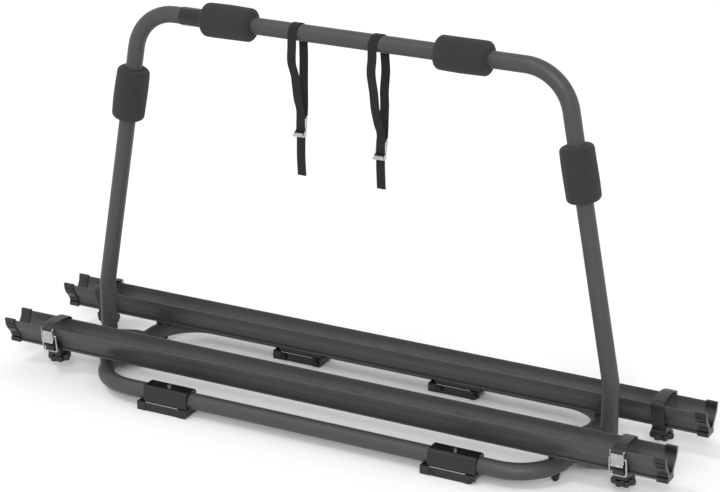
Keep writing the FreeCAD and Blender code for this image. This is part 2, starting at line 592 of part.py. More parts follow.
def lever():
    """Silver lever: a plate with two arms, its pin in the band's eye, two holes for the bail."""
    pin, down, out = lever_frame()
    length = (V(0, *LEVER_TOE) - pin).Length
    half = LEVER_W / 2

    def flat(points, low_x, high_x):
        ring = [V(low_x, 0, 0) + pin + down * t + out * n for t, n in points]
        return Part.Face(Part.makePolygon(ring + ring[:1])).extrude(V(high_x - low_x, 0, 0))

    plate = flat([(LEVER_START, LEVER_PROUD), (length, LEVER_PROUD), (length + 2, LEVER_PROUD + 3.2),
                  (length + 0.8, LEVER_PROUD + 3.8), (length - 0.6, LEVER_PROUD + LEVER_T),
                  (LEVER_START, LEVER_PROUD + LEVER_T)], -half, half)
    pieces = [plate]
    for side in (-1, 1):
        low, high = sorted((side * half, side * (half - LEVER_T)))
        pieces.append(flat([(0, -LEVER_EYE_R), (LEVER_ARM - 6, -LEVER_BACK), (LEVER_ARM, LEVER_PROUD),
                            (LEVER_ARM, LEVER_PROUD + LEVER_T), (LEVER_START, LEVER_PROUD + LEVER_T),
                            (0, LEVER_EYE_R)], low, high))
        pieces.append(rod(LEVER_EYE_R, V(low, 0, 0) + pin, V(high, 0, 0) + pin))
    pieces.append(rod(PIN_R, pin - X * half, pin + X * half))
    centre = pin + down * BAIL_DOWN - out * BAIL_BACK
    return fused(pieces).cut(rod(BAIL_R + FIT, centre - X * (half + 1), centre + X * (half + 1)))


def bail():
    """Wire loop: its turned-in ends sit in the lever's arms, its foot under the carrier's nose."""
    pin, down, out = lever_frame()
    centre = pin + down * BAIL_DOWN - out * BAIL_BACK
    foot = V(0, *BAIL_FOOT)
    inner = LEVER_W / 2 - LEVER_T - 0.8
    path = [centre - X * inner, centre - X * BAIL_HALF, foot - X * BAIL_HALF,
            foot + X * BAIL_HALF, centre + X * BAIL_HALF, centre + X * inner]
    return bent_bar(path, [0, 1.5, 2.5, 2.5, 1.5, 0], BAIL_R)


def knob():
    """Seven-lobed hand knob with its stud, turning in the carrier."""
    low, high = KNOB_Z
    pieces = [rod(KNOB_R, V(0, 0, low), V(0, 0, high))]
    reach = KNOB_REACH - LOBE_R
    for k in range(KNOB_LOBES):
        angle = 2 * math.pi * k / KNOB_LOBES
        x, y = reach * math.cos(angle), reach * math.sin(angle)
        pieces.append(rod(LOBE_R, V(x, y, low + LOBE_STEP), V(x, y, high - LOBE_STEP)))
    pieces.append(rod(BOLT_R, V(0, 0, low), V(0, 0, STUD_TOP)))
    return fused(pieces)


def wheel_straps():
    """Four wheel straps, the front ones mirrored."""
    units = (("strap_carrier_", carrier()), ("strap_band_", band()), ("strap_lever_", lever()),
             ("strap_bail_", bail()), ("strap_knob_", knob()))
    for name, x, side in WHEEL_STRAPS:
        for node, shape in units:
            placed = shape if side > 0 else mirrored_y(shape)
            save(node + name, [moved(placed, x, side * RAIL_Y)])


def frame_strap(name, x, pin_z, cam_z, front_line):
    """A webbing loop over the top bar, held by a small cam buckle at its lower end."""
    eye_r = BUCKLE_PIN_R + FIT + WEB_T / 2
    hang_r = TUBE_R + CLEAR + WEB_T / 2
    eye = arc_points((BUCKLE_Y, pin_z), eye_r, -190, 0, 12)
    rear = [(hang_r, pin_z + 2 * WEB_MEET)]
    over = arc_points((0, TOP_Z), hang_r, 0, 180, 14)
    ends = [(WEB_FRONT_Y, pin_z + WEB_MEET), (WEB_FRONT_Y, WEB_END_Z)]
    front = rounded_path([over[-1]] + front_line + ends,
                         [WEB_BEND_R] * (len(front_line) + 1), 10.0)
    webbing = ribbon(eye + rear + over + front[1:], WEB_T, WEB_W)
    outer = BUCKLE_IN + BUCKLE_GAP + BUCKLE_T
    foot_z = cam_z - CHEEK_FOOT
    head_z = pin_z + CHEEK_HEAD
    cheeks = []
    for side in (-1, 1):
        low, high = sorted((side * (BUCKLE_IN + BUCKLE_GAP), side * outer))
        ring = [V(low, BUCKLE_Y - CHEEK_FRONT, foot_z), V(low, BUCKLE_Y - CHEEK_HEAD / 2, foot_z),
                V(low, BUCKLE_Y + CHEEK_BACK, pin_z - 4), V(low, BUCKLE_Y + CHEEK_BACK, head_z),
                V(low, BUCKLE_Y - CHEEK_HEAD, head_z), V(low, BUCKLE_Y - CHEEK_FRONT, cam_z + BASE_UP)]
        cheeks.append(Part.Face(Part.makePolygon(ring + ring[:1])).extrude(V(high - low, 0, 0)))
    pin_bar = rod(BUCKLE_PIN_R, V(-outer, BUCKLE_Y, pin_z), V(outer, BUCKLE_Y, pin_z))
    base_y = WEB_FRONT_Y + WEB_T / 2 + CLEAR
    base = box(-outer, outer, base_y, base_y + BASE_T, foot_z, cam_z + BASE_UP)
    holes = rod(CAM_PIN_R + FIT, V(-2 * outer, CAM_Y, cam_z), V(2 * outer, CAM_Y, cam_z))
    buckle = fused(cheeks + [pin_bar, base]).cut(holes)
    drum_half = BUCKLE_IN - BUCKLE_GAP
    front = CAM_Y - CAM_DRUM_R
    cam = [rod(CAM_DRUM_R, V(-drum_half, CAM_Y, cam_z), V(drum_half, CAM_Y, cam_z)),
           rod(CAM_PIN_R, V(-outer - 1, CAM_Y, cam_z), V(outer + 1, CAM_Y, cam_z)),
           box(-drum_half, drum_half, front, front + CAM_LIP, cam_z - 8.0, cam_z + 2.0),
           box(-drum_half, drum_half, front - CAM_LIP, front + SNUG, cam_z - 5.0, cam_z + 4.0)]
    for node, shape in (("frame_strap_", webbing), ("strap_buckle_", buckle), ("strap_cam_", fused(cam))):
        save(node + name, [moved(shape, x)])


frame_tubes()
rails_and_caps()
leg_brackets()
for clamp_row in CLAMPS:
    clamp(*clamp_row)
foam_pads()
wheel_straps()
for strap_row in FRAME_STRAPS:
    frame_strap(*strap_row)
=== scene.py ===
import json
import math
import bmesh
import bpy
import numpy as np
from mathutils import Matrix, Vector


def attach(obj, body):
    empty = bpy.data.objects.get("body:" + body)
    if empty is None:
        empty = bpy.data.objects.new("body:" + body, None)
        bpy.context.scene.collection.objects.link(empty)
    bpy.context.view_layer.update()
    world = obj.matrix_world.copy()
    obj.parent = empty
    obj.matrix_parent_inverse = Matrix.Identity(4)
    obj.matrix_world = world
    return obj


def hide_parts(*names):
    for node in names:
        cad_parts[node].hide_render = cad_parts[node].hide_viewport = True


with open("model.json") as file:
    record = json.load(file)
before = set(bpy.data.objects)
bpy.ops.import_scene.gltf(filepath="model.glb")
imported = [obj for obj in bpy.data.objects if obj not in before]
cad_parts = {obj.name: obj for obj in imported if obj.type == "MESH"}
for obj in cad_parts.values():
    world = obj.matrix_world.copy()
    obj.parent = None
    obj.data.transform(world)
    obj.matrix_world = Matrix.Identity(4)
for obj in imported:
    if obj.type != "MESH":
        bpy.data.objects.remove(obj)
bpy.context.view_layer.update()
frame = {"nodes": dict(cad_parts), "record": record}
MM = 0.001

# Camera at the photograph's angle
IMAGE_W, IMAGE_H = 720, 492
CAMERA_AT = (1.82073, -3.40666, 1.80781)
CAMERA_AZ, CAMERA_EL, CAMERA_ROLL = 27.746, 21.158, -0.318
CAMERA_LENS = 117.897


# Node and mesh helpers

def linear(hex_colour, alpha=1.0):
    """sRGB hex to linear: v / 12.92 below 0.04045, else ((v + 0.055) / 1.055) ** 2.4."""
    values = [int(hex_colour[i:i + 2], 16) / 255 for i in (1, 3, 5)]
    return tuple(v / 12.92 if v <= 0.04045 else ((v + 0.055) / 1.055) ** 2.4 for v in values) + (alpha,)


def add(tree, kind, settings=None, **inputs):
    """One node: settings are its own attributes, inputs are values or sockets to link, by input name."""
    node = tree.nodes.new("ShaderNode" + kind)
    for key, value in (settings or {}).items():
        setattr(node, key, value)
    for key, value in inputs.items():
        name = key.replace("_", " ")
        by_number = name.startswith("in") and name[2:].isdigit()
        socket = node.inputs[int(name[2:]) if by_number else name]
        if isinstance(value, bpy.types.NodeSocket):
            tree.links.new(value, socket)
        else:
            socket.default_value = value
    return node


def new_material(name):
    """An empty node material with its output; returns the material, its tree and the output."""
    material = bpy.data.materials.new(name)
    material.use_nodes = True
    tree = material.node_tree
    tree.nodes.clear()
    return material, tree, tree.nodes.new("ShaderNodeOutputMaterial")


def surface_mesh(name, grid, around=False, along=False, caps=False, uv_scale=None):
    """A mesh from a grid of points [i, j]: i runs along, j runs around; either way may close on itself."""
    rows, cols = grid.shape[:2]
    i, j = np.meshgrid(np.arange(rows if along else rows - 1), np.arange(cols if around else cols - 1),
                       indexing="ij")
    i2, j2 = (i + 1) % rows, (j + 1) % cols
    faces = np.stack([i * cols + j, i2 * cols + j, i2 * cols + j2, i * cols + j2], -1).reshape(-1, 4).tolist()
    if caps:
        faces += [list(range(cols)), [(rows - 1) * cols + k for k in range(cols)][::-1]]
    mesh = bpy.data.meshes.new(name)
    mesh.from_pydata(grid.reshape(-1, 3).tolist(), [], faces)
    if uv_scale is not None:
        layer = mesh.uv_layers.new(name="UVMap")
        u = np.linspace(0, uv_scale[0], rows + 1)
        v = np.linspace(0, uv_scale[1], cols + 1)
        corners = []
        for a, b in zip(i.ravel(), j.ravel()):
            corners += [u[a], v[b], u[a + 1], v[b], u[a + 1], v[b + 1], u[a], v[b + 1]]
        corners += [0.0] * (2 * len(mesh.loops) - len(corners))
        layer.data.foreach_set("uv", corners)
    mesh.polygons.foreach_set("use_smooth", [True] * len(mesh.polygons))
    if around:
        face_outward(mesh)
    piece = bpy.data.objects.new(name, mesh)
    bpy.context.scene.collection.objects.link(piece)
    return piece


def face_outward(mesh):
    """Normals of a closed mesh turned outward."""
    work = bmesh.new()
    work.from_mesh(mesh)
    bmesh.ops.recalc_face_normals(work, faces=work.faces)
    work.to_mesh(mesh)
    work.free()


def prism(name, outline, low_x, high_x, edge_mm=0.5):
    """A (y, z) outline carried along X, its sharp edges rounded over by edge_mm."""
    ring = np.array(outline, float)
    grid = np.stack([np.column_stack([np.full(len(ring), x), ring]) for x in (low_x, high_x)])
    piece = surface_mesh(name, grid * MM, around=True, caps=True)
    piece.data.set_sharp_from_angle(angle=math.radians(35))
    bevel = piece.modifiers.new("rounded", "BEVEL")
    bevel.width = edge_mm * MM
    bevel.segments = 2
    bevel.limit_method = "ANGLE"
    bevel.angle_limit = math.radians(35)
    bevel.harden_normals = True
    return piece


def dress(piece, slot_name, body, *nodes):
    """Finish, body and the CAD nodes that a piece stands for."""
    piece.data.materials.append(FINISHES[slot_name])
    if nodes:
        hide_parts(*nodes)
    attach(piece, body)


# Materials

def bumped(tree, height, distance_mm, strength=1.0, normal=None):
    """Bump from a height socket, its depth in real millimetres."""
    extra = {} if normal is None else {"Normal": normal}
    return add(tree, "Bump", Strength=strength, Distance=distance_mm * MM, Height=height, **extra).outputs[0]


def noise(tree, vector, size_mm, detail=2.0, roughness=0.5):
    """Noise whose features are about size_mm across."""
    return add(tree, "TexNoise", Vector=vector, Scale=1.0 / (size_mm * MM), Detail=detail,
               Roughness=roughness).outputs["Fac"]


def ramp(tree, factor, low, high, to_low, to_high):
    """A factor from low..high spread over to_low..to_high and kept there."""
    return add(tree, "MapRange", {"clamp": True}, Value=factor, in1=low, in2=high, in3=to_low,
               in4=to_high).outputs[0]


def tint(tree, factor, dark, light):
    """A colour between two sRGB hex values."""
    mix = add(tree, "Mix", {"data_type": "RGBA"}, Factor=factor)
    colour_inputs = [s for s in mix.inputs if s.type == "RGBA"]
    colour_inputs[0].default_value = linear(dark)
    colour_inputs[1].default_value = linear(light)
    return [s for s in mix.outputs if s.type == "RGBA"][0]


def powder_coat(name, dark, light, roughness, grain_mm=1.1, drawn=False):
    """Polyester powder coat baked on metal: an even dark grey with the faint orange peel of melted powder.
    drawn adds the fine lines that an extrusion die leaves along X under the coat."""
    material, tree, output = new_material(name)
    at = add(tree, "TexCoord").outputs["Object"]
    peel = noise(tree, at, grain_mm, 3.0)
    patch = noise(tree, at, 90.0, 3.0)
    speck = noise(tree, at, 0.6, 2.0)
    normal = bumped(tree, peel, 0.05)
    if drawn:
        across = add(tree, "Mapping", Vector=at, Scale=(0.004, 1.0, 1.0)).outputs[0]
        normal = bumped(tree, noise(tree, across, 1.4, 2.0), 0.05, normal=normal)
    blend = add(tree, "Math", {"operation": "MULTIPLY_ADD"}, in0=speck, in1=0.35,
                in2=ramp(tree, patch, 0.3, 0.7, 0.15, 0.55)).outputs[0]
    shader = add(tree, "BsdfPrincipled", Base_Color=tint(tree, blend, dark, light), IOR=1.5,
                 Roughness=ramp(tree, peel, 0.3, 0.7, roughness - 0.05, roughness + 0.06), Normal=normal)
    tree.links.new(shader.outputs[0], output.inputs[0])
    return material


def moulded(name, dark, light, roughness, grain_mm, depth_mm):
    """Injection-moulded plastic: a spark-eroded mould texture, duller where handled."""
    material, tree, output = new_material(name)
    at = add(tree, "TexCoord").outputs["Object"]
    grain = noise(tree, at, grain_mm, 3.0, 0.6)
    wear = noise(tree, at, 22.0, 4.0, 0.6)
    colour = tint(tree, ramp(tree, wear, 0.35, 0.7, 0.0, 1.0), dark, light)
    shader = add(tree, "BsdfPrincipled", Base_Color=colour, IOR=1.5,
                 Roughness=ramp(tree, wear, 0.3, 0.7, roughness - 0.06, roughness + 0.07),
                 Normal=bumped(tree, grain, depth_mm))
    tree.links.new(shader.outputs[0], output.inputs[0])
    return material


def closed_foam(name, dark, light):
    """Extruded closed-cell rubber foam: a matt skin of burst cells, soft to the eye, with broad dents."""
    material, tree, output = new_material(name)
    at = add(tree, "TexCoord").outputs["Object"]
    cells = add(tree, "TexVoronoi", {"feature": "F1"}, Vector=at, Scale=1 / (1.3 * MM)).outputs["Distance"]
    mottle = noise(tree, at, 9.0, 5.0, 0.65)
    normal = bumped(tree, ramp(tree, cells, 0.0, 0.55, 0.0, 1.0), 0.28,
                    normal=bumped(tree, mottle, 0.5))
    shader = add(tree, "BsdfPrincipled", Base_Color=tint(tree, mottle, dark, light), IOR=1.3,
                 Roughness=0.92, Normal=normal)
    shader.inputs["Sheen Weight"].default_value = 0.06
    shader.inputs["Sheen Roughness"].default_value = 0.6
    tree.links.new(shader.outputs[0], output.inputs[0])
    return material


def woven(name, dark, light, rib_mm, pick_mm):
    """Polypropylene webbing: flat ribs along the strap and the weft's short picks across each rib. Its colour
    is painted shade, darker in the weave's hollows and lighter on the rib tops, with random fuzz.
    The UV map is in metres: U along the strap, V across it."""
    material, tree, output = new_material(name)
    uv = add(tree, "SeparateXYZ", Vector=add(tree, "TexCoord").outputs["UV"])
    turns = 2 * math.pi

    def wave(socket, pitch_mm, shift=None):
        per_metre = turns / (pitch_mm * MM)
        phase = add(tree, "Math", {"operation": "MULTIPLY"}, in0=socket, in1=per_metre).outputs[0]
        if shift is not None:
            phase = add(tree, "Math", {"operation": "ADD"}, in0=phase, in1=shift).outputs[0]
        return add(tree, "Math", {"operation": "SINE"}, in0=phase).outputs[0]

    rib = wave(uv.outputs["Y"], rib_mm)
    sign = add(tree, "Math", {"operation": "SIGN"}, in0=rib).outputs[0]
    shift = add(tree, "Math", {"operation": "MULTIPLY"}, in0=sign, in1=math.pi / 2).outputs[0]
    pick = wave(uv.outputs["X"], pick_mm, shift)
    rib_up = add(tree, "Math", {"operation": "ABSOLUTE"}, in0=rib).outputs[0]
    weave = add(tree, "Math", {"operation": "MULTIPLY_ADD"}, in0=pick, in1=0.35, in2=rib_up).outputs[0]
    fuzz = noise(tree, add(tree, "TexCoord").outputs["Object"], 0.7, 3.0)
    # Painted shade: the colour is darker in the hollows between ribs and picks and lighter on their tops; the
    # fuzz adds random tone.
    groove_shade_and_fuzz = add(tree, "Math", {"operation": "MULTIPLY_ADD"}, in0=fuzz, in1=0.5,
                in2=ramp(tree, weave, -0.2, 1.3, 0.0, 0.6)).outputs[0]
    shader = add(tree, "BsdfPrincipled", Base_Color=tint(tree, groove_shade_and_fuzz, dark, light), IOR=1.35, Roughness=0.78,
                 Normal=bumped(tree, weave, 0.22, normal=bumped(tree, fuzz, 0.12)))
    shader.inputs["Sheen Weight"].default_value = 0.06
    tree.links.new(shader.outputs[0], output.inputs[0])
    return material


def plated(name, dark, light, roughness, line_mm=0.5):
    """Zinc-plated steel, pressed and tumbled: pale metal with short rubbed lines and dull patches."""
    material, tree, output = new_material(name)
    at = add(tree, "TexCoord").outputs["Object"]
    drawn = add(tree, "Mapping", Vector=at, Scale=(0.12, 1.0, 1.0)).outputs[0]
    lines = noise(tree, drawn, line_mm, 3.0, 0.6)
    patch = noise(tree, at, 6.0, 4.0, 0.6)
    shader = add(tree, "BsdfPrincipled", Base_Color=tint(tree, patch, dark, light), Metallic=1.0,
                 Roughness=ramp(tree, patch, 0.3, 0.7, roughness - 0.08, roughness + 0.1),
                 Normal=bumped(tree, lines, 0.03))
    tree.links.new(shader.outputs[0], output.inputs[0])
    return material


FINISHES = {
    "frame_paint": powder_coat("powder_coated_steel", "#363638", "#3e3e40", 0.46),
    "rail_coating": powder_coat("powder_coated_extrusion", "#363638", "#3f3f41", 0.44, drawn=True),
    "black_plastic": moulded("moulded_nylon", "#161617", "#202021", 0.38, 0.9, 0.05),
    "gloss_black": moulded("gloss_moulded_nylon", "#111112", "#18181a", 0.17, 3.0, 0.01),
    "foam": closed_foam("rubber_foam", "#2a2a2c", "#363638"),
    "webbing": woven("polypropylene_webbing", "#0f0f10", "#202021", 1.9, 2.4),
    "bright_metal": plated("zinc_plated_steel", "#8b8c8a", "#d2d3d1", 0.27),
    "dark_metal": plated("blackened_steel", "#333334", "#474748", 0.36),
    "band_rubber": moulded("moulded_elastomer", "#101011", "#18181a", 0.42, 0.8, 0.05),
}
for slot_row in frame["record"]["subparts"]:
    node = frame["nodes"][slot_row["node"]]
    node.data.materials.clear()
    node.data.materials.append(FINISHES[slot_row["material_slot"]])


# Sizes and places, mm

TUBE_R = 15.0
BAR_Z = 691.0
RAIL_Y = 97.0
LOOP_Y, LOOP_Z = 154.0, 29.0
LEG_FOOT_X, LEG_FOOT_Z = 506.0, 151.0
LEG_RUN, LEG_RISE = -98.5, 540.0

PAD_HALF, PAD_BORE, PAD_R, PAD_CORNER = 48.0, TUBE_R + 0.25, 29.7, 8.0
PAD_CROWN = 0.5
SLIT_DEPTH, SLIT_DEG, SLIT_NOTCH = 1.9, 1.9, 1.2
LEG_SLIT_AT, TOP_SLIT_AT = 250.0, 200.0
TOP_PAD_X = 225.7
PADS = [("left", -1, 533.0), ("right", 1, 518.0)]

WEB_WIDTH, WEB_THICK = 17.0, 1.5
WEB_OVER_BAR = TUBE_R + 1.1
WEB_ROUND_PIN = 2.38
PIN_Y, CAM_Y, TAIL_Y = 12.0, 3.0, 7.3
TAIL_END_Z = 428.0
CHEEK_IN, CHEEK_OUT = 8.85, 9.95
BUCKLE_FLOOR_HALF, BUCKLE_PIN_HALF, BUCKLE_PIN_R = 8.9, 10.4, 1.5
CAM_HALF, CAM_R, NECK_HALF, LIP_LEFT, LIP_RIGHT = 8.6, 3.2, 8.5, 11.0, 10.6
# Side, place along X, heights of the buckle's pin and cam, front and rear layer as (y, z, shift), seed
FRAME_STRAPS = [
    ("left", -90.5, 535.0, 506.0,
     [(-16.6, 668.0, -2.2), (-16.0, 640.0, -2.8), (-9.0, 614.0, -1.0), (-4.0, 592.0, -1.6),
      (1.0, 568.0, -1.0)],
     [(15.0, 549.0, 2.0), (16.0, 590.0, 2.4), (16.8, 640.0, 2.2), (16.3, 676.0, 2.6)], 0.4),
    ("right", 66.0, 516.0, 488.0,
     [(-16.8, 668.0, -3.4), (-17.2, 640.0, -5.6), (-13.5, 604.0, -2.2), (-7.5, 576.0, -2.4),
      (1.0, 545.0, -1.2)],
     [(15.0, 532.0, 2.4), (16.0, 575.0, 3.4), (16.4, 604.0, 2.4), (17.2, 640.0, 5.2),
      (16.5, 672.0, 3.6)], 2.0),
]

BAND_WIDTH, BAND_THICK = 22.0, 2.3
BAND_Y, BAND_EYE_R, BAND_EYE_DROP = -17.7, 3.3, 0.03
TOOTH_PITCH, TOOTH_H = 4.0, 0.45
LEVER_PIN = np.array((33.5, 96.35))
LEVER_TOE = np.array((30.3, 64.5))
PLATE_HALF, ARM_SHEET, PANEL_HALF, LEVER_PIN_HALF = 10.9, 1.4, 7.6, 13.2
LEVER_PIN_R = 2.0
BAIL_HINGE_DOWN, BAIL_HINGE_IN, WIRE_R = 13.0, 0.5, 1.7
BAIL_FOOT = np.array((27.5, 51.2))
NOSE_HALF = 9.0
WHEEL_UNITS = [("front_left", -555.0, -1), ("front_right", 572.0, -1), ("rear_left", -572.0, 1),
               ("rear_right", 566.0, 1)]

KNOB_LOW, KNOB_HIGH, KNOB_R, KNOB_BOSS_R = 24.0, 37.6, 19.2, 11.0
LOBES, LOBE_DEPTH, LOBE_EASE = 7, 0.15, 0.02
STUD_R, STUD_LOW, STUD_TOP = 4.0, 37.0, 48.9

COVER_HALF, COVER_WIDE, COVER_FOOT, COVER_TOP, COVER_ROLL = 45.0, 18.0, 4.5, 47.0, 7.5
COVER_BORE = TUBE_R + 0.05
# Sizes of a painted highlight: bright metal strips along the jaw's top edge, where it catches the light.
HIGHLIGHT_STRIP_IN, HIGHLIGHT_STRIP_OUT, HIGHLIGHT_STRIP_LOW, HIGHLIGHT_STRIP_HIGH = 18.15, 20.2, 15.8, 17.2
HIGHLIGHT_STRIP_LEFT, HIGHLIGHT_STRIP_RIGHT = -39.8, 27.8
GRUB_ABOVE = 30.0
CLAMPS = [("front_left", -278.0, -1), ("front_right", 290.0, -1), ("rear_left", -171.0, 1),
          ("rear_right", 155.0, 1)]


# Soft pieces

def turned_frame(along):
    """Two unit vectors square to a direction, and the direction itself."""
    w = np.array(along, float) / np.linalg.norm(along)
    u = np.cross(w, (0.0, 1.0, 0.0))
    u /= np.linalg.norm(u)
    return u, np.cross(w, u), w


def foam_pad(name, node, centre, along, slit_deg, seed):
    """A foam roll round the tube. Its section is a closed line: bore, end face, rounded corner, crowned wall.
    Point = centre + w * s + (u * cos a + v * sin a) * r, with r eased by a low swell and cut by a narrow
    slit: r - depth * exp(-((a - slit) / width) ** 2)."""
    bend = np.radians(np.linspace(0, 90, 7))
    wall = np.linspace(-1, 1, 15)[1:-1]
    low = np.stack([PAD_R - PAD_CORNER + PAD_CORNER * np.sin(bend),
                    -PAD_HALF + PAD_CORNER - PAD_CORNER * np.cos(bend)], 1)
    side = np.stack([PAD_R + PAD_CROWN * (1 - wall ** 2), wall * (PAD_HALF - PAD_CORNER)], 1)
    high = low[::-1] * (1, -1)
    face = np.linspace(PAD_BORE, PAD_R - PAD_CORNER, 5)[:-1]
    bore = np.linspace(PAD_HALF, -PAD_HALF, 9)[1:-1]
    section = np.concatenate([np.stack([face, np.full(len(face), -PAD_HALF)], 1), low, side, high,
                              np.stack([face[::-1], np.full(len(face), PAD_HALF)], 1),
                              np.stack([np.full(len(bore), PAD_BORE), bore], 1)])
    a = np.linspace(0, 2 * np.pi, 160, endpoint=False)
    r, s = section[:, :1], section[:, 1:]
    share = np.clip((r - PAD_BORE) / (PAD_R - PAD_BORE), 0, 1)
    swell = 0.35 * np.sin(2 * a + seed) * np.cos(s / 23 + seed) + 0.22 * np.sin(5 * a + 2 * seed + s / 17)
    away = np.degrees(np.angle(np.exp(1j * (a - math.radians(slit_deg)))))
    cut = np.exp(-(away / SLIT_DEG) ** 2)
    radius = r + share * (swell - SLIT_DEPTH * cut)
    length = s - np.sign(s) * share * (np.abs(s) > PAD_HALF - 1) * SLIT_NOTCH * cut
    u, v, w = turned_frame(along)
    points = (np.array(centre) + length[..., None] * w
              + radius[..., None] * (np.cos(a)[None, :, None] * u + np.sin(a)[None, :, None] * v))
    piece = surface_mesh(name, points * MM, around=True, along=True)
    dress(piece, "foam", "frame", node)


def smooth_line(points, step_mm=1.5):
    """Even points along a Catmull-Rom curve through the given ones: four-point blends, then resampled by
    length."""
    p = np.array(points, float)
    p = np.concatenate([[2 * p[0] - p[1]], p, [2 * p[-1] - p[-2]]])
    t = np.linspace(0, 1, 24, endpoint=False)[:, None]
    runs = []
    for a, b, c, d in zip(p[:-3], p[1:-2], p[2:-1], p[3:]):
        runs.append(0.5 * (2 * b + (c - a) * t + (2 * a - 5 * b + 4 * c - d) * t ** 2
                           + (3 * b - a - 3 * c + d) * t ** 3))
    line = np.concatenate(runs + [p[-2:-1]])
    reach = length_along(line)
    at = np.linspace(0, reach[-1], max(8, int(reach[-1] / step_mm)))
    return np.stack([np.interp(at, reach, line[:, k]) for k in range(line.shape[1])], 1)


def length_along(line):
    """The length of a line up to each of its points."""
    return np.concatenate([[0], np.cumsum(np.linalg.norm(np.diff(line, axis=0), axis=1))])


def strap_surface(name, x, line, width, thickness, teeth=None):
    """A flat strap along a line of (y, z, shift along X). Its section is a bar with eased edges: half the
    thickness along the line's normal, less 45 percent of it at the very edge. teeth lifts the face."""
    n = np.gradient(line[:, :2], axis=0)
    n = np.stack([-n[:, 1], n[:, 0]], 1) / np.linalg.norm(n, axis=1)[:, None]
    across = np.concatenate([np.linspace(-1, 1, 15), np.linspace(1, -1, 15)])
    up = np.concatenate([np.ones(15), -np.ones(15)])
    edge = 1 - 0.45 * np.clip((np.abs(across) - 0.86) / 0.14, 0, 1) ** 2
    lift = np.repeat(up[None] * edge[None] * thickness / 2, len(line), 0)
    if teeth is not None:
        lift = lift + (up[None] > 0) * (np.abs(across)[None] < 0.8) * teeth[:, None]
    grid = np.stack([x + across[None] * width / 2 + line[:, 2:] + 0 * lift,
                     line[:, :1] + n[:, :1] * lift, line[:, 1:2] + n[:, 1:] * lift], -1)
    length = length_along(line)[-1]
    uv_scale = (length * MM, 2 * width * MM)
    return surface_mesh(name, grid * MM, around=True, caps=True, uv_scale=uv_scale), length


def arc(centre, radius, start, stop, count):
    """Points on an arc in the YZ plane, degrees from +Y towards +Z."""
    a = np.radians(np.linspace(start, stop, count))
    return [(centre[0] + radius * math.cos(t), centre[1] + radius * math.sin(t)) for t in a]


def beside(centre, offsets):
    """(y, z) points given as offsets from a centre."""
    return [(centre[0] + dy, centre[1] + dz) for dy, dz in offsets]


def frame_strap(side, x, pin_z, front, rear, seed):
    """Webbing: round the buckle's pin, up behind, over the top bar, down in front, through the cam, and the
    tail. Its two layers hang a little apart along X, and a low sine keeps them from lying dead straight."""
    under = [(y, z, 1.2) for y, z in arc((PIN_Y, pin_z), WEB_ROUND_PIN, -185, 0, 7)]
    over_shift = np.linspace(rear[-1][2], front[0][2], 9)
    over = [(y, z, d) for (y, z), d in zip(arc((0, BAR_Z), WEB_OVER_BAR, 0, 180, 9), over_shift)]
    tail = [(TAIL_Y, pin_z + 12, 0.3), (TAIL_Y, pin_z - 12, 0.0), (TAIL_Y, pin_z - 34, 0.0),
            (TAIL_Y - 0.6, TAIL_END_Z + 34, 0.3), (TAIL_Y + 0.5, TAIL_END_Z, 0.9)]
    path = smooth_line(under + rear + over + front + tail)
    s = np.linspace(0, 1, len(path))
    path[:, 2] += 0.4 * np.sin(31 * s + seed) * np.clip(6 * s * (1 - s), 0, 1)
    piece, length = strap_surface("webbing_" + side, x, path, WEB_WIDTH, WEB_THICK)
    dress(piece, "webbing", "frame", "frame_strap_" + side)


# Buckles, levers, knobs and clamps

def cam_buckle(side, x, pin_z, cam_z):
    """Pressed buckle: two slanted cheeks, a floor behind the webbing, the strap's pin, and the cam, whose lip
    stands out past the cheeks on a narrower neck."""
    cam, pin = (CAM_Y, cam_z), (PIN_Y, pin_z)
    body, buckle = "cam_" + side, "strap_buckle_" + side
    cheek = (beside(cam, [(-1.0, -5.5), (6.5, -5.0)])
             + beside(pin, [(2.3, -4.0), (2.6, 0.0), (1.8, 2.6), (-0.8, 2.7), (-2.4, 0.0)])
             + beside(cam, [(3.6, 5.4), (0.5, 4.0), (-2.2, 2.4), (-2.8, 0.0)]))
    for end, mark in ((-1, "a"), (1, "b")):
        low, high = sorted((end * CHEEK_IN, end * CHEEK_OUT))
        plate = prism("cheek_%s_%s" % (side, mark), cheek, x + low, x + high, 0.35)
        dress(plate, "bright_metal", "frame", buckle)
    floor = beside(cam, [(5.6, -5), (6.7, -5), (6.7, 6), (5.6, 6)])
    floor_piece = prism("buckle_floor_" + side, floor, x - BUCKLE_FLOOR_HALF, x + BUCKLE_FLOOR_HALF, 0.2)
    dress(floor_piece, "bright_metal", "frame")
    rod = arc(pin, BUCKLE_PIN_R, 0, 330, 12)
    rod_piece = prism("buckle_pin_" + side, rod, x - BUCKLE_PIN_HALF, x + BUCKLE_PIN_HALF, 0.2)
    dress(rod_piece, "bright_metal", "frame")
    drum = arc(cam, CAM_R, 0, 340, 18)
    drum_piece = prism("cam_drum_" + side, drum, x - CAM_HALF, x + CAM_HALF, 0.2)
    dress(drum_piece, "dark_metal", body, "strap_cam_" + side)
    neck = beside(cam, [(-3.2, 2.6), (-4.7, 1.6), (-5.3, -1.0), (-3.6, -1.0), (-2.4, 1.4)])
    dress(prism("cam_neck_" + side, neck, x - NECK_HALF, x + NECK_HALF, 0.3), "bright_metal", body)
    lip = beside(cam, [(-5.3, -0.6), (-4.9, -4.2), (-3.7, -5.2), (-3.1, -4.2), (-3.7, -0.6)])
    dress(prism("cam_lip_" + side, lip, x - LIP_LEFT, x + LIP_RIGHT, 0.3), "bright_metal", body)


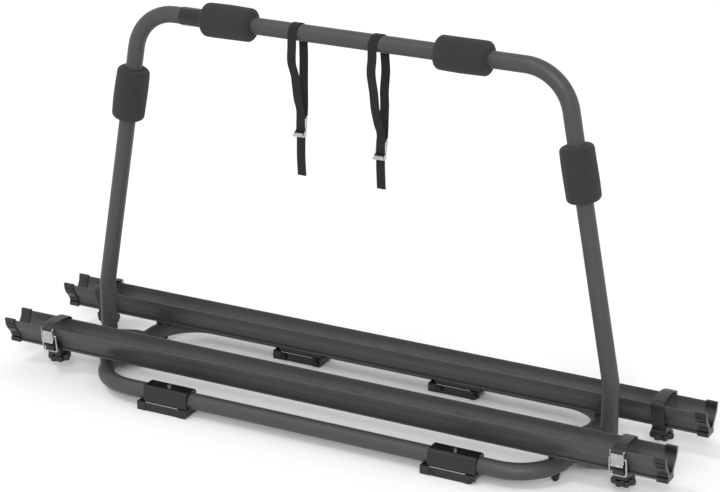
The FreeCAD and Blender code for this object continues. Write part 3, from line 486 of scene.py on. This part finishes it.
def wheel_band(name, x, side):
    """Moulded band: out of the carrier's pocket, over both rims, round the lever's pin. Low teeth repeat
    across its top: height = tooth height * (1 - sawtooth)."""
    eye = (LEVER_PIN[0], LEVER_PIN[1] - BAND_EYE_DROP)
    line = [(BAND_Y, 40.3), (BAND_Y, 47.0), (BAND_Y - 1.0, 55.0), (-24.5, 70.0), (-29.6, 84.0), (-30.6, 91.0),
            (-29.4, 97.6), (-25.0, 101.0), (-15.0, 103.3), (0.0, 104.8), (14.0, 104.6), (24.0, 102.6),
            (30.5, 100.0)]
    path = smooth_line(line + arc(eye, BAND_EYE_R, 84, -160, 9), 1.0)
    path = np.column_stack([path, np.zeros(len(path))])
    reach = length_along(path)
    toothed = (path[:, 1] > 80) & (path[:, 0] < 24)
    teeth = toothed * TOOTH_H * (1 - (reach % TOOTH_PITCH) / TOOTH_PITCH)
    piece, _ = strap_surface("band_" + name, 0.0, path, BAND_WIDTH, BAND_THICK, teeth=teeth)
    move_unit(piece, x, side)
    dress(piece, "band_rubber", "carrier_" + name, "strap_band_" + name)


def on_lever(points):
    """(y, z) of points given as (way down the lever from its pin, way out of it)."""
    down = (LEVER_TOE - LEVER_PIN) / np.linalg.norm(LEVER_TOE - LEVER_PIN)
    out = np.array((-down[1], down[0]))
    return [tuple(LEVER_PIN + down * t + out * n) for t, n in points]


def lever_and_bail(name, x, side):
    """Pressed lever: a plate with a raised panel and a curled toe between two arms on the band's pin; and the
    wire bail, its legs outside the arms and its foot under the carrier's nose."""
    arm = [(-2.6, -2.2), (0.0, -3.3), (12.0, -3.0), (18.0, -1.2), (21.0, 2.2), (21.0, 4.4), (2.0, 4.8),
           (-2.2, 3.8), (-3.4, 1.6)]
    plate = [(3.2, 2.4), (24.0, 2.4), (26.0, 3.4), (26.6, 5.2), (25.4, 5.6), (24.0, 4.2), (22.6, 3.9),
             (4.0, 3.9), (2.4, 3.4)]
    panel = [(6.5, 3.6), (20.5, 3.6), (20.0, 4.6), (7.0, 4.6)]
    nose = [(16.5, 53.4), (31.2, 53.4), (31.6, 56.5), (28.5, 62.0), (24.0, 65.2), (16.5, 65.2)]
    pieces = []
    for end, mark in ((-1, "a"), (1, "b")):
        low, high = sorted((end * PLATE_HALF, end * (PLATE_HALF + ARM_SHEET)))
        pieces.append((prism("arm_%s_%s" % (name, mark), on_lever(arm), low, high, 0.4), "lever_"))
    pieces.append((prism("plate_" + name, on_lever(plate), -PLATE_HALF, PLATE_HALF, 0.4), "lever_"))
    pieces.append((prism("panel_" + name, on_lever(panel), -PANEL_HALF, PANEL_HALF, 0.45), "lever_"))
    rod = arc(LEVER_PIN, LEVER_PIN_R, 0, 336, 15)
    pieces.append((prism("lever_pin_" + name, rod, -LEVER_PIN_HALF, LEVER_PIN_HALF, 0.3), "lever_"))
    pieces.append((tube_along("bail_" + name, bail_line(), WIRE_R), "bail_"))
    pieces.append((prism("nose_" + name, nose, -NOSE_HALF, NOSE_HALF, 0.8), "carrier_"))
    stands_for = {"plate_" + name: "strap_lever_" + name, "bail_" + name: "strap_bail_" + name}
    for piece, body in pieces:
        move_unit(piece, x, side)
        nodes = [stands_for[piece.name]] if piece.name in stands_for else []
        dress(piece, "black_plastic" if body == "carrier_" else "bright_metal", body + name, *nodes)


def bail_line():
    """The bail's wire, one half and its mirror: out from the hinge past the arm, down, in at the foot."""
    hinge = np.array(on_lever([(BAIL_HINGE_DOWN, -BAIL_HINGE_IN)])[0])
    half = [(-10.2, *hinge), (-13.6, *hinge), (-14.6, *(hinge + (-0.2, -1.6))),
            (-14.8, *((hinge + BAIL_FOOT) / 2)), (-14.4, *(BAIL_FOOT + (0.3, 3.2))),
            (-13.2, *(BAIL_FOOT + (0.0, 0.7))), (-11.0, *BAIL_FOOT), (0.0, *BAIL_FOOT)]
    return smooth_line(half + [(-a, y, z) for a, y, z in half[-2::-1]], 0.7)


def tube_along(name, line, radius):
    """Round wire along a line: two normals are carried along it, each kept square to the next step."""
    step = np.gradient(line, axis=0)
    step /= np.linalg.norm(step, axis=1)[:, None]
    u = np.cross(step[0], (0.3, 0.5, 0.8))
    rows = []
    a = np.linspace(0, 2 * np.pi, 14, endpoint=False)[:, None]
    for point, way in zip(line, step):
        u = u - way * u.dot(way)
        u /= np.linalg.norm(u)
        rows.append(point + radius * (np.cos(a) * u + np.sin(a) * np.cross(way, u)))
    return surface_mesh(name, np.array(rows) * MM, around=True, caps=True)


def move_unit(piece, x, side):
    """A wheel strap's piece, drawn for the rear rail over x = 0, put in place; front ones are mirrored."""
    co = np.zeros(len(piece.data.vertices) * 3)
    piece.data.vertices.foreach_get("co", co)
    co = co.reshape(-1, 3) * (1, side, 1) + (x * MM, side * RAIL_Y * MM, 0)
    piece.data.vertices.foreach_set("co", co.ravel())
    face_outward(piece.data)


def turned_grid(line, a, radius=None):
    """A grid of points: a line of (radius, z) carried round Z, or with its radius given at each angle."""
    r = line[:, :1] if radius is None else radius
    return np.stack([r * np.cos(a), r * np.sin(a), np.repeat(line[:, 1:], len(a), 1)], -1)


def hand_knob(name, x, side):
    """Lobed knob: radius = profile r(z) * (1 + share * (k * lobe wave - ease)), the share rising from the
    boss to the rim, and the wave a cosine with broad tops. A plain boss above, a shallow dish below, and
    the stud."""
    profile = [(0.5, 26.0), (9.0, 26.0), (10.5, 24.6), (14.0, 24.1), (17.0, 24.4), (18.8, 26.2),
               (KNOB_R, 29.0), (KNOB_R, 32.5), (18.6, 34.6), (16.5, 35.8), (12.5, 36.2), (11.6, 36.6),
               (11.4, 37.4), (10.9, KNOB_HIGH), (0.5, KNOB_HIGH)]
    line = smooth_line(profile, 0.55)
    line[:, 0] = np.clip(line[:, 0], 0.3, KNOB_R)
    line[:, 1] = np.clip(line[:, 1], KNOB_LOW, KNOB_HIGH)
    a = np.linspace(0, 2 * np.pi, 168, endpoint=False)
    wave = np.cos(LOBES * a)
    lobe = np.sign(wave) * np.abs(wave) ** 0.7
    share = np.clip((line[:, :1] - KNOB_BOSS_R) / (KNOB_R - KNOB_BOSS_R), 0, 1)
    radius = line[:, :1] * (1 + share * (LOBE_DEPTH * lobe[None] - LOBE_EASE))
    piece = surface_mesh("knob_" + name, turned_grid(line, a, radius) * MM, around=True, caps=True)
    move_unit(piece, x, side)
    dress(piece, "black_plastic", "knob_" + name, "strap_knob_" + name)
    stud_line = np.array([(0.05, STUD_LOW), (STUD_R, STUD_LOW), (STUD_R, STUD_LOW + 0.5),
                          (STUD_R, STUD_TOP - 0.9), (STUD_R - 0.8, STUD_TOP), (0.05, STUD_TOP)])
    b = np.linspace(0, 2 * np.pi, 32, endpoint=False)
    stud = surface_mesh("stud_" + name, turned_grid(stud_line, b) * MM, around=True, caps=True)
    move_unit(stud, x, side)
    dress(stud, "bright_metal", "knob_" + name)


def clamp_dress(name, x, side):
    """Clamp cover: an upside-down U whose top is nearly flat, with its edges rolled over; a bright metal
    strip along each side of the jaw is a painted highlight, standing for the light that the jaw's top edge
    catches."""
    body, y0 = "clamp_" + name, side * LOOP_Y
    roll = (COVER_ROLL - COVER_WIDE, COVER_TOP - COVER_ROLL)
    outer = [(-COVER_WIDE, COVER_FOOT)] + arc(roll, COVER_ROLL, 180, 90, 10)
    outer += [(-y, z) for y, z in outer[::-1]]
    inner = ([(COVER_BORE, COVER_FOOT)] + arc((0, LOOP_Z), COVER_BORE, 0, 180, 25)
             + [(-COVER_BORE, COVER_FOOT)])
    outline = [(y + y0, z) for y, z in outer + inner]
    cover = prism("cover_" + name, outline, x - COVER_HALF, x + COVER_HALF, 0.6)
    dress(cover, "gloss_black", body, "clamp_saddle_" + name)
    # Painted highlight: a bright metal strip on each side of the jaw, where the jaw's top edge catches the
    # light.
    for end, mark in ((-1, "a"), (1, "b")):
        near, far = sorted((y0 + end * HIGHLIGHT_STRIP_IN, y0 + end * HIGHLIGHT_STRIP_OUT))
        outline = [(near, HIGHLIGHT_STRIP_LOW), (far, HIGHLIGHT_STRIP_LOW), (far, HIGHLIGHT_STRIP_HIGH - 0.3), (near, HIGHLIGHT_STRIP_HIGH)]
        highlight_strip = prism("strip_%s_%s" % (name, mark), outline, x + HIGHLIGHT_STRIP_LEFT, x + HIGHLIGHT_STRIP_RIGHT, 0.25)
        dress(highlight_strip, "bright_metal", body)
    clamp_screws("grub_screws_" + name, name, "bright_metal", above=True)
    clamp_screws("cross_screws_" + name, name, "dark_metal", above=False)


def clamp_screws(name, clamp_name, slot_name, above):
    """A copy of the clamp's CAD screws, cut down to those above or below the tube: the grub screw on top is
    bright, and the cross screws are blackened."""
    source = frame["nodes"]["clamp_fixings_" + clamp_name]
    mesh = source.data.copy()
    mesh.materials.clear()
    work = bmesh.new()
    work.from_mesh(mesh)
    bmesh.ops.remove_doubles(work, verts=work.verts, dist=0.001 * MM)
    world = source.matrix_world
    gone = [v for v in work.verts if ((world @ v.co).z > GRUB_ABOVE * MM) != above]
    bmesh.ops.delete(work, geom=gone, context="VERTS")
    work.to_mesh(mesh)
    work.free()
    screw = bpy.data.objects.new(name, mesh)
    screw.matrix_world = world
    bpy.context.scene.collection.objects.link(screw)
    dress(screw, slot_name, "clamp_" + clamp_name, "clamp_fixings_" + clamp_name)


for pad_name, pad_side, pad_z in PADS:
    pad_x = LEG_FOOT_X + LEG_RUN * (pad_z - LEG_FOOT_Z) / LEG_RISE
    foam_pad("foam_leg_" + pad_name, "pad_leg_" + pad_name, (pad_side * pad_x, 0, pad_z),
             (pad_side * LEG_RUN, 0, LEG_RISE), LEG_SLIT_AT, 1.0 + pad_side)
    foam_pad("foam_top_" + pad_name, "pad_top_" + pad_name, (pad_side * TOP_PAD_X, 0, BAR_Z), (1, 0, 0),
             TOP_SLIT_AT, 2.3 + pad_side)
for strap_side, strap_x, strap_pin_z, _, front_layer, rear_layer, strap_seed in FRAME_STRAPS:
    frame_strap(strap_side, strap_x, strap_pin_z, front_layer, rear_layer, strap_seed)
for strap in FRAME_STRAPS:
    cam_buckle(*strap[:4])
for unit in WHEEL_UNITS:
    wheel_band(*unit)
    lever_and_bail(*unit)
    hand_knob(*unit)
for clamp in CLAMPS:
    clamp_dress(*clamp)


# Floor, light and camera

def studio():
    """A white floor that keeps the shadow, an even pale world that shows white itself, a soft key lamp from
    the camera's side and a lamp high on the left."""
    far, low = FLOOR_HALF, -FLOOR_DROP
    floor = surface_mesh("floor", np.array([[[far, -far, low], [far, far, low]],
                                            [[-far, -far, low], [-far, far, low]]]))
    material, tree, output = new_material("studio_floor")
    shader = add(tree, "BsdfDiffuse", Color=linear("#ffffff"))
    tree.links.new(shader.outputs[0], output.inputs[0])
    floor.data.materials.append(material)
    world = bpy.data.worlds.new("studio")
    world.use_nodes = True
    bpy.context.scene.world = world
    tree = world.node_tree
    tree.nodes.clear()
    path = add(tree, "LightPath")
    seen = path.outputs["Is Camera Ray"]
    for ray in ("Is Transmission Ray", "Is Glossy Ray"):
        seen = add(tree, "Math", {"operation": "MAXIMUM"}, in0=seen, in1=path.outputs[ray]).outputs[0]
    strength = add(tree, "MapRange", Value=seen, in3=WORLD_LIGHT, in4=1.0).outputs[0]
    sky = add(tree, "Background", Color=linear("#ffffff"), Strength=strength)
    tree.links.new(sky.outputs[0], tree.nodes.new("ShaderNodeOutputWorld").inputs[0])
    for name, azimuth, elevation, angle, energy in SUNS:
        lamp = bpy.data.lights.new(name, "SUN")
        lamp.energy = energy
        lamp.angle = math.radians(angle)
        sun = bpy.data.objects.new(name, lamp)
        bpy.context.scene.collection.objects.link(sun)
        a, e = math.radians(azimuth), math.radians(elevation)
        toward = Vector((math.sin(a) * math.cos(e), -math.cos(a) * math.cos(e), math.sin(e)))
        sun.rotation_euler = toward.to_track_quat("Z", "Y").to_euler()


def camera():
    """Camera at the photograph's azimuth, elevation and roll; azimuth 0 looks along +Y."""
    a, e, r = (math.radians(v) for v in (CAMERA_AZ, CAMERA_EL, CAMERA_ROLL))
    back = Vector((math.sin(a) * math.cos(e), -math.cos(a) * math.cos(e), math.sin(e)))
    right = Vector((math.cos(a), math.sin(a), 0))
    up = back.cross(right)
    right, up = math.cos(r) * right + math.sin(r) * up, -math.sin(r) * right + math.cos(r) * up
    data = bpy.data.cameras.new("camera")
    data.lens = CAMERA_LENS
    data.sensor_width = 36.0
    data.sensor_fit = "HORIZONTAL"
    data.clip_end = 100.0
    seen = bpy.data.objects.new("camera", data)
    seen.matrix_world = Matrix((right, up, back)).transposed().to_4x4()
    seen.location = CAMERA_AT
    bpy.context.scene.collection.objects.link(seen)
    bpy.context.scene.camera = seen


FLOOR_HALF, FLOOR_DROP = 30.0, 0.0005
WORLD_LIGHT = 0.72
# Name, azimuth, elevation and width of the disc in degrees, strength
SUNS = [("key", 22.0, 33.0, 20.0, 1.25), ("top", -28.0, 62.0, 14.0, 0.5)]
studio()
camera()
bpy.context.scene.view_settings.view_transform = "Standard"
